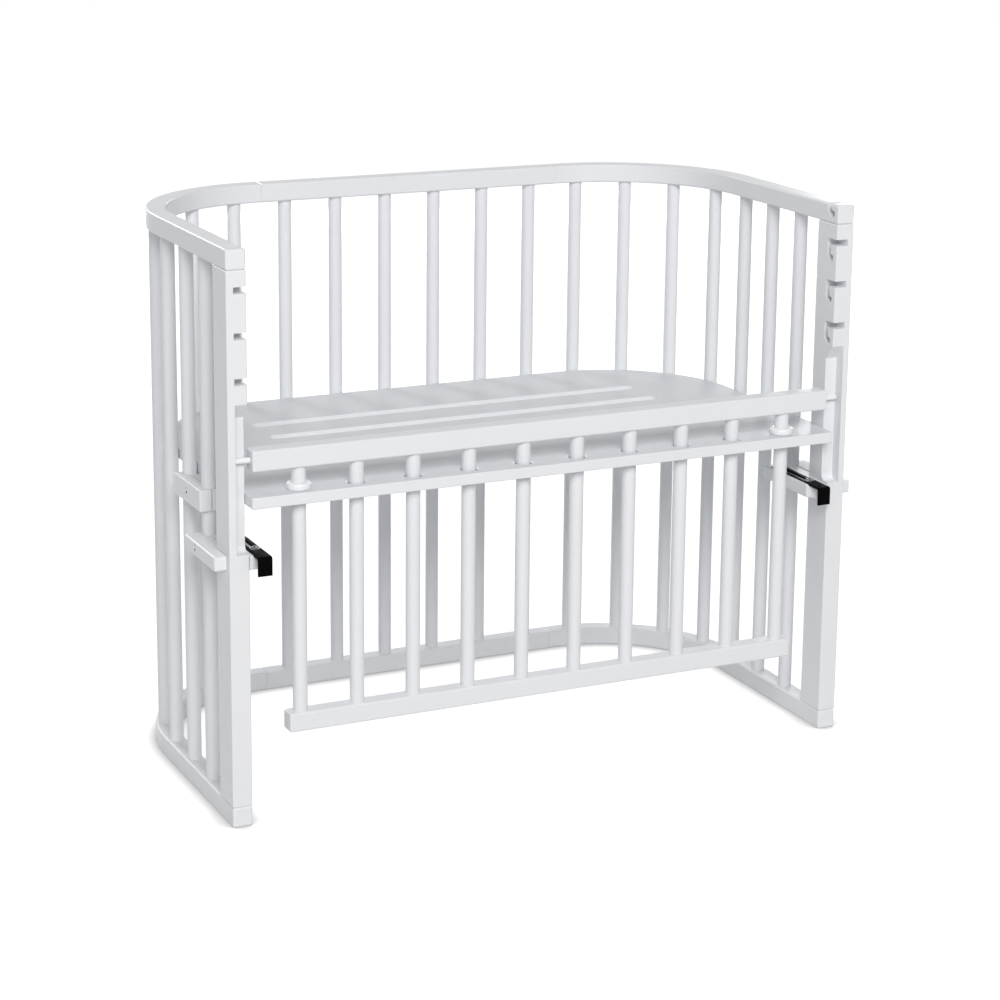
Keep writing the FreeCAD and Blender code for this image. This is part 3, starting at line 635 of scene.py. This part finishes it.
def screws_tree():
    """Socket screws on points at the middle of their heads' tops, facing the points' way."""
    tree, given, end = new_group(
        "Crib Screws", "GeometryNodeTree",
        [("Heads", "Geometry", None), ("Head Radius", "Distance", 0.0063),
         ("Head Height", "Distance", 0.0032), ("Crown", "Distance", 0.001),
         ("Hexagon Width", "Distance", 0.004), ("Hexagon Depth", "Distance", 0.0019),
         ("Shank Radius", "Distance", 0.003), ("Shank Length", "Distance", 0.04),
         ("Thread Pitch", "Distance", 0.0014), ("Finish", "Material", None)],
        [("Screws", "Geometry")])
    # Head: a disc whose top is domed, with a hexagon cut into it.
    disc = put(tree, "GeometryNodeMeshCylinder",
               {"Vertices": HEAD_SIDES, "Side Segments": 1, "Fill Segments": 8,
                "Radius": given["Head Radius"], "Depth": given["Head Height"]})
    where = tree.nodes.new("GeometryNodeInputPosition").outputs[0]
    parts = put(tree, "ShaderNodeSeparateXYZ", {0: where}).outputs
    out = calc(tree, "SQRT", calc(tree, "ADD", calc(tree, "MULTIPLY", parts["X"], parts["X"]),
                                  calc(tree, "MULTIPLY", parts["Y"], parts["Y"])))
    share = calc(tree, "POWER", calc(tree, "DIVIDE", out, given["Head Radius"]), CROWN_POWER)
    drop = calc(tree, "MULTIPLY", calc(tree, "MULTIPLY", share, given["Crown"]), -1.0)
    domed = put(tree, "GeometryNodeSetPosition",
                {"Geometry": disc.outputs["Mesh"], "Selection": disc.outputs["Top"],
                 "Offset": put(tree, "ShaderNodeCombineXYZ", {"Z": drop}).outputs[0]})
    sunk = calc(tree, "DIVIDE", given["Head Height"], -2.0)
    head = put(tree, "GeometryNodeTransform",
               {"Geometry": domed.outputs[0],
                "Translation": put(tree, "ShaderNodeCombineXYZ", {"Z": sunk}).outputs[0]})
    key = put(tree, "GeometryNodeMeshCylinder",
              {"Vertices": 6, "Radius": calc(tree, "DIVIDE", given["Hexagon Width"], 3 ** 0.5),
               "Depth": calc(tree, "MULTIPLY", given["Hexagon Depth"], 2.0)})
    cut = put(tree, "GeometryNodeMeshBoolean", operation="DIFFERENCE", solver="EXACT")
    tree.links.new(head.outputs[0], cut.inputs["Mesh 1"])
    tree.links.new(key.outputs["Mesh"], cut.inputs["Mesh 2"])
    # Shank: a core with a thread wound up it, reaching a little way into the head.
    core_radius = calc(tree, "MULTIPLY", given["Shank Radius"], CORE_SHARE)
    foot = calc(tree, "MULTIPLY",
                calc(tree, "ADD", given["Shank Length"], given["Head Height"]), -1.0)
    low = put(tree, "ShaderNodeCombineXYZ", {"Z": foot}).outputs[0]
    under = put(tree, "ShaderNodeCombineXYZ",
                {"Z": calc(tree, "MULTIPLY", given["Head Height"], -SHANK_IN_HEAD)}).outputs[0]
    line = put(tree, "GeometryNodeCurvePrimitiveLine", {"Start": low, "End": under})
    core_edge = put(tree, "GeometryNodeCurvePrimitiveCircle",
                    {"Resolution": CORE_SIDES, "Radius": core_radius}).outputs["Curve"]
    core = put(tree, "GeometryNodeCurveToMesh",
               {"Curve": line.outputs[0], "Profile Curve": core_edge, "Fill Caps": True})
    tooth = calc(tree, "MULTIPLY", given["Shank Radius"], TOOTH_SHARE)
    margin = given["Thread Pitch"]
    run = calc(tree, "SUBTRACT", given["Shank Length"], calc(tree, "MULTIPLY", margin, 2.0))
    spiral = put(tree, "GeometryNodeCurveSpiral",
                 {"Resolution": 20, "Rotations": calc(tree, "DIVIDE", run, given["Thread Pitch"]),
                  "Start Radius": core_radius, "End Radius": core_radius, "Height": run})
    edge = put(tree, "GeometryNodeCurvePrimitiveCircle", {"Resolution": 4, "Radius": tooth})
    thread = put(tree, "GeometryNodeCurveToMesh",
                 {"Curve": spiral.outputs[0], "Profile Curve": edge.outputs["Curve"],
                  "Fill Caps": True})
    start = put(tree, "ShaderNodeCombineXYZ", {"Z": calc(tree, "ADD", foot, margin)}).outputs[0]
    wound = put(tree, "GeometryNodeTransform",
                {"Geometry": thread.outputs[0], "Translation": start})
    whole = tree.nodes.new("GeometryNodeJoinGeometry")
    for part in (cut.outputs["Mesh"], core.outputs[0], wound.outputs[0]):
        tree.links.new(part, whole.inputs[0])
    way = put(tree, "GeometryNodeInputNamedAttribute", {"Name": "way"},
              data_type="FLOAT_VECTOR").outputs["Attribute"]
    turn = put(tree, "FunctionNodeAlignRotationToVector", {"Vector": way}, axis="Z")
    stood = put(tree, "GeometryNodeInstanceOnPoints",
                {"Points": given["Heads"], "Instance": whole.outputs[0],
                 "Rotation": turn.outputs[0]}).outputs[0]
    real = put(tree, "GeometryNodeRealizeInstances", {"Geometry": stood}).outputs[0]
    done = put(tree, "GeometryNodeSetMaterial", {"Geometry": real, "Material": given["Finish"]})
    tree.links.new(done.outputs[0], end.inputs["Screws"])
    lay_out(tree)
    return tree


def screw_facts(points):
    """Head's top, the way it faces, and the sizes of a CAD screw, rounded to a hundredth of a
    millimetre so that like screws compare equal."""
    low, high = extent(points)
    size = high - low
    k = max(range(3), key=lambda axis: size[axis])
    middle = (low + high) / 2

    def wide(at):
        near = [p for p in points if abs(p[k] - at) < END_DEPTH]
        return max((flat(p - middle, k).length for p in near), default=0.0)

    out = 1 if wide(high[k]) > wide(low[k]) else -1
    top = high[k] if out > 0 else low[k]
    shank = wide(low[k] if out > 0 else high[k])
    head = [p for p in points if flat(p - middle, k).length > shank * HEAD_TO_SHANK]
    deep = max(abs(p[k] - top) for p in head)
    radius = max(flat(p - middle, k).length for p in head)
    way = Vector((0, 0, 0))
    way[k] = out
    centre = middle.copy()
    centre[k] = top
    sizes = tuple(round(v, 5) for v in (radius, deep, shank, size[k] - deep))
    return centre, way, sizes


def flat(vector, axis):
    """The vector without its part along an axis."""
    vector = vector.copy()
    vector[axis] = 0
    return vector


# ---------------------------------------------------------------- operators
class CRIB_OT_lacquer(bpy.types.Operator):
    """Lacquers the rails, posts and jaws, coats the deck and leaves the dowels bare"""

    bl_idname = "crib.lacquer"
    bl_label = "Lacquer Woodwork"

    def execute(self, context):
        for node in NODES:
            if "deck_board" in node:
                give_finish(node, deck_coating_with_painted_lit_sides())
            elif "dowel" in node:
                give_finish(node, bare_beech())
            else:
                give_finish(node, white_lacquer())
        return {"FINISHED"}


class CRIB_OT_bars(bpy.types.Operator):
    """Stands the round bars in the frame and in the grille"""

    bl_idname = "crib.bars"
    bl_label = "Stand Bars"

    def execute(self, context):
        sizes = context.scene.crib_sizes
        tree = bars_tree()
        for name, body, word in (("frame_bars", "frame", "_bar_"),
                                 ("grille_bars", "grille", "grille_bar_")):
            nodes = node_names(word, body)
            boxes = [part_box(node) for node in nodes]
            feet = [Vector(((low.x + high.x) / 2, (low.y + high.y) / 2, low.z))
                    for low, high in boxes]
            mesh = grown(tree, feet, {
                "Length": boxes[0][1].z - boxes[0][0].z, "Radius": sizes.bar_radius,
                "Sides": sizes.bar_sides, "Socket": sizes.bar_socket,
                "Bead": sizes.film_bead, "Finish": white_lacquer()})
            smooth_all(mesh)
            new_piece(name, mesh, body, nodes)
        return {"FINISHED"}


class CRIB_OT_rings(bpy.types.Operator):
    """Turns the stop rings, the grille's end pins and the caps in the back rail"""

    bl_idname = "crib.rings"
    bl_label = "Turn Rings and Pins"

    def execute(self, context):
        plastic = white_plastic()
        rings = [self.ring(points, plastic) for points in loose_islands("grille_stop_rings")]
        new_piece("stop_rings", joined(rings), "grille",
                  ["grille_stop_rings"])
        pins = [self.pin(points, plastic) for points in loose_islands("grille_end_pins")]
        new_piece("end_pins", joined(pins), "grille", ["grille_end_pins"])
        caps = [self.cap(points, plastic) for points in loose_islands("top_rail_caps")]
        new_piece("rail_caps", joined(caps), "frame", ["top_rail_caps"])
        return {"FINISHED"}

    def ring(self, points, plastic):
        """A ring with a flat foot, a rounded crown and a small lip where it meets the bar."""
        low, high = extent(points)
        place = Vector(((low.x + high.x) / 2, (low.y + high.y) / 2, low.z))
        out = (high.x - low.x) / 2
        tall = high.z - low.z
        bore = bpy.context.scene.crib_sizes.bar_radius + 0.05 * MM
        crown, foot, lip = 4.5 * MM, 1.2 * MM, 0.5 * MM
        profile = [(bore, lip), (bore + lip, 0.0), (out - foot, 0.0)]
        profile += arc(out - foot, foot, foot, -90, 0, 5)
        profile += arc(out - crown, tall - crown, crown, 0, 90, 12)
        profile += [(bore + 0.7 * MM, tall), (bore + 0.25 * MM, tall - 0.15 * MM),
                    (bore, tall - lip)]
        return turned(profile, RING_SIDES, place, Vector((0, 0, 1)), plastic, closed=True)

    def pin(self, points, plastic):
        """A plain pin with a rounded tip and a shallow dimple left by the mould."""
        low, high = extent(points)
        outwards = 1 if high.x > 0 else -1
        root = low.x if outwards > 0 else high.x
        place = Vector((root, (low.y + high.y) / 2, (low.z + high.z) / 2))
        radius, length = (high.z - low.z) / 2, high.x - low.x
        tip, bevel, dimple = 1.4 * MM, 0.3 * MM, 1.3 * MM
        profile = [(0, 0), (radius - bevel, 0), (radius, bevel), (radius, length / 2)]
        profile += arc(radius - tip, length - tip, tip, 0, 90, 8)
        profile += [(dimple, length), (dimple - bevel, length - bevel), (0, length - 0.4 * MM)]
        return turned(profile, PIN_SIDES, place, Vector((outwards, 0, 0)), plastic)

    def cap(self, points, plastic):
        """A small domed cap on a stem."""
        low, high = extent(points)
        place = Vector(((low.x + high.x) / 2, (low.y + high.y) / 2, low.z))
        out, tall = (high.x - low.x) / 2, high.z - low.z
        dome, stem = 1.0 * MM, 2.0 * MM
        seat = tall - dome
        profile = [(0, 0), (stem - 0.3 * MM, 0), (stem, 0.4 * MM), (stem, seat), (out, seat)]
        profile += [(out * math.cos(math.radians(a)), seat + dome * math.sin(math.radians(a)))
                    for a in range(15, 90, 15)]
        profile += [(0, tall)]
        return turned(profile, CAP_SIDES, place, Vector((0, 0, 1)), plastic)


def arc(centre_radius, centre_height, radius, start, stop, steps):
    """Profile points round a corner, from one angle to another in degrees."""
    spots = []
    for k in range(steps + 1):
        angle = math.radians(start + (stop - start) * k / steps)
        spots.append((centre_radius + radius * math.cos(angle),
                      centre_height + radius * math.sin(angle)))
    return spots


class CRIB_OT_hooks(bpy.types.Operator):
    """Softens the stamped edges of the bed hooks and powder-coats them"""

    bl_idname = "crib.hooks"
    bl_label = "Coat Hooks"

    def execute(self, context):
        edge = context.scene.crib_sizes.strap_edge
        for side in ("left", "right"):
            node = side + "_hook_strap"
            work = bmesh.new()
            work.from_mesh(NODES[node].data)
            bmesh.ops.remove_doubles(work, verts=work.verts, dist=STRAP_WELD)
            bmesh.ops.dissolve_limit(work, angle_limit=STRAP_FLAT, verts=work.verts,
                                     edges=work.edges)
            bmesh.ops.recalc_face_normals(work, faces=work.faces)
            sharp = [e for e in work.edges if len(e.link_faces) == 2
                     and e.calc_face_angle() > STRAP_SHARP]
            bmesh.ops.bevel(work, geom=sharp, offset=edge, segments=3, profile=0.5,
                            affect="EDGES", clamp_overlap=True)
            bmesh.ops.triangulate(work, faces=[f for f in work.faces if len(f.verts) > 4])
            mesh = bpy.data.meshes.new(node)
            work.to_mesh(mesh)
            work.free()
            mesh.materials.append(powder_coat())
            smooth_all(mesh, 30.0)
            new_piece(side + "_bed_hook", mesh, side + "_hook", [node])
        return {"FINISHED"}


class CRIB_OT_screws(bpy.types.Operator):
    """Drives the plated socket screws into the clamps, brackets and deck"""

    bl_idname = "crib.screws"
    bl_label = "Drive Screws"

    def execute(self, context):
        sizes = context.scene.crib_sizes
        tree = screws_tree()
        for node, body in (("deck_clamp_screws", "deck"),
                           ("left_bracket_screws", "left_bracket"),
                           ("right_bracket_screws", "right_bracket")):
            like = {}
            for points in loose_islands(node):
                centre, way, facts = screw_facts(points)
                like.setdefault(facts, []).append((centre, way))
            meshes = []
            for (radius, deep, shank, length), heads in sorted(like.items()):
                meshes.append(grown(tree, [centre for centre, way in heads], {
                    "Head Radius": radius, "Head Height": deep, "Crown": deep * CROWN_SHARE,
                    "Hexagon Width": min(sizes.hex_width, radius * HEX_WIDEST),
                    "Hexagon Depth": min(sizes.hex_depth, deep * HEX_DEEPEST),
                    "Shank Radius": shank, "Shank Length": length,
                    "Thread Pitch": sizes.thread_pitch, "Finish": zinc_plate()},
                    [way for centre, way in heads]))
            new_piece(node.replace("_screws", "_socket_screws"), joined(meshes), body,
                      [node])
        return {"FINISHED"}


class CRIB_OT_stage(bpy.types.Operator):
    """Sets the camera, the soft lamps, the white surroundings and the floor"""

    bl_idname = "crib.stage"
    bl_label = "Set Stage"

    def execute(self, context):
        studio = context.scene.crib_studio
        self.camera(context.scene, studio)
        self.surroundings(context.scene, studio)
        self.floor(studio)
        for name, size, colour in LAMPS:
            self.lamp(name, Vector(getattr(studio, name + "_place")), size,
                      getattr(studio, name + "_power"), colour)
        context.scene.view_settings.view_transform = "Standard"
        return {"FINISHED"}

    def camera(self, scene, studio):
        """A camera aimed by heading, dip and roll, with its picture shifted up or down."""
        lens = bpy.data.cameras.new("crib camera")
        lens.sensor_width = 36.0
        lens.lens = studio.focal_length
        lens.shift_y = studio.rise
        lens.clip_start, lens.clip_end = 0.05, 60.0
        a, e, r = studio.heading, studio.dip, studio.roll
        ahead = Vector((-math.sin(a) * math.cos(e), math.cos(a) * math.cos(e), -math.sin(e)))
        level = Vector((math.cos(a), math.sin(a), 0.0))
        over = level.cross(ahead)
        right = level * math.cos(r) + over * math.sin(r)
        up = right.cross(ahead)
        seat = Matrix((right, up, -ahead)).transposed().to_4x4()
        seat.translation = Vector(studio.camera_place)
        stand = bpy.data.objects.new("crib camera", lens)
        stand.matrix_world = seat
        scene.collection.objects.link(stand)
        scene.camera = stand

    def surroundings(self, scene, studio):
        """White where the camera or a reflection looks, a softer tint as light on the crib."""
        world = bpy.data.worlds.new("crib surroundings")
        world.use_nodes = True
        scene.world = world
        tree = world.node_tree
        tree.nodes.clear()
        seen = self.seen(tree)
        soft = put(tree, "ShaderNodeBackground", {"Color": (*studio.sky, 1.0)})
        white = put(tree, "ShaderNodeBackground", {"Color": grey(1.0)})
        mixed = put(tree, "ShaderNodeMixShader", {0: seen, 1: soft.outputs[0],
                                                  2: white.outputs[0]})
        put(tree, "ShaderNodeOutputWorld", {"Surface": mixed.outputs[0]})
        lay_out(tree)

    def seen(self, tree):
        """1 for rays from the camera, reflections and glass."""
        path = tree.nodes.new("ShaderNodeLightPath").outputs
        both = calc(tree, "MAXIMUM", path["Is Camera Ray"], path["Is Glossy Ray"])
        return calc(tree, "MAXIMUM", both, path["Is Transmission Ray"])

    def floor(self, studio):
        """A floor that emits white away from the crib, with a painted contact shadow where the
        crib touches it, and keeps the lamps' real shadows; as light on the crib it is plain and
        pale."""
        mesh = bpy.data.meshes.new("studio_floor")
        corners = [(x * FLOOR_HALF, y * FLOOR_HALF, 0) for x, y in
                   ((-1, -1), (1, -1), (1, 1), (-1, 1))]
        mesh.from_pydata(corners, [], [(0, 1, 2, 3)])
        material = bpy.data.materials.new("Studio floor")
        material.use_nodes = True
        tree = material.node_tree
        tree.nodes.clear()
        plain = put(tree, "ShaderNodeBsdfDiffuse", {"Color": grey(FLOOR_BOUNCE)})
        # Painted contact shadow: the floor's emission dims where the crib hides the open sky.
        open_sky = put(tree, "ShaderNodeAmbientOcclusion", {"Distance": studio.shadow_reach},
                       samples=24).outputs["AO"]
        shade = put(tree, "ShaderNodeMapRange", {"Value": open_sky, **FLOOR_PAINTED_SHADOW},
                    interpolation_type="SMOOTHSTEP")
        shadowed_emission = put(tree, "ShaderNodeEmission", {"Strength": shade.outputs[0]})
        lit = put(tree, "ShaderNodeBsdfDiffuse", {"Color": grey(FLOOR_LIT)})
        white = put(tree, "ShaderNodeAddShader", {0: shadowed_emission.outputs[0], 1: lit.outputs[0]})
        mixed = put(tree, "ShaderNodeMixShader", {0: self.seen(tree), 1: plain.outputs[0],
                                                  2: white.outputs[0]})
        put(tree, "ShaderNodeOutputMaterial", {"Surface": mixed.outputs[0]})
        lay_out(tree)
        mesh.materials.append(material)
        ground = bpy.data.objects.new("studio_floor", mesh)
        bpy.context.scene.collection.objects.link(ground)

    def lamp(self, name, place, size, power, colour):
        """A soft rectangle of light that faces the middle of the crib."""
        light = bpy.data.lights.new(name, "AREA")
        light.shape = "RECTANGLE"
        light.size, light.size_y = size
        light.energy = power
        light.color = colour
        lamp = bpy.data.objects.new(name, light)
        lamp.location = place
        lamp.rotation_mode = "QUATERNION"
        lamp.rotation_quaternion = (LIT_POINT - place).to_track_quat("-Z", "Y")
        bpy.context.scene.collection.objects.link(lamp)


class CRIB_PT_panel(bpy.types.Panel):
    """The crib's sizes, finishes, studio and steps"""

    bl_idname = "CRIB_PT_panel"
    bl_label = "Bedside Sleeper Crib"
    bl_space_type = "VIEW_3D"
    bl_region_type = "UI"
    bl_category = "Crib"

    def draw(self, context):
        for title, group in (("Sizes", context.scene.crib_sizes),
                             ("Finishes", context.scene.crib_finish),
                             ("Studio", context.scene.crib_studio)):
            box = self.layout.box()
            box.label(text=title)
            for name in group.__annotations__:
                box.prop(group, name)
        for step in STEPS:
            self.layout.operator(step.bl_idname)


STEPS = (CRIB_OT_lacquer, CRIB_OT_bars, CRIB_OT_rings, CRIB_OT_hooks, CRIB_OT_screws,
         CRIB_OT_stage)
CLASSES = (CRIB_PG_sizes, CRIB_PG_finish, CRIB_PG_studio, *STEPS, CRIB_PT_panel)


def register():
    for cls in CLASSES:
        bpy.utils.register_class(cls)
    bpy.types.Scene.crib_sizes = bpy.props.PointerProperty(type=CRIB_PG_sizes)
    bpy.types.Scene.crib_finish = bpy.props.PointerProperty(type=CRIB_PG_finish)
    bpy.types.Scene.crib_studio = bpy.props.PointerProperty(type=CRIB_PG_studio)


def unregister():
    del bpy.types.Scene.crib_studio
    del bpy.types.Scene.crib_finish
    del bpy.types.Scene.crib_sizes
    for cls in reversed(CLASSES):
        bpy.utils.unregister_class(cls)


def main():
    register()
    bpy.ops.crib.lacquer()
    bpy.ops.crib.bars()
    bpy.ops.crib.rings()
    bpy.ops.crib.hooks()
    bpy.ops.crib.screws()
    bpy.ops.crib.stage()


if __name__ == "__main__":
    main()
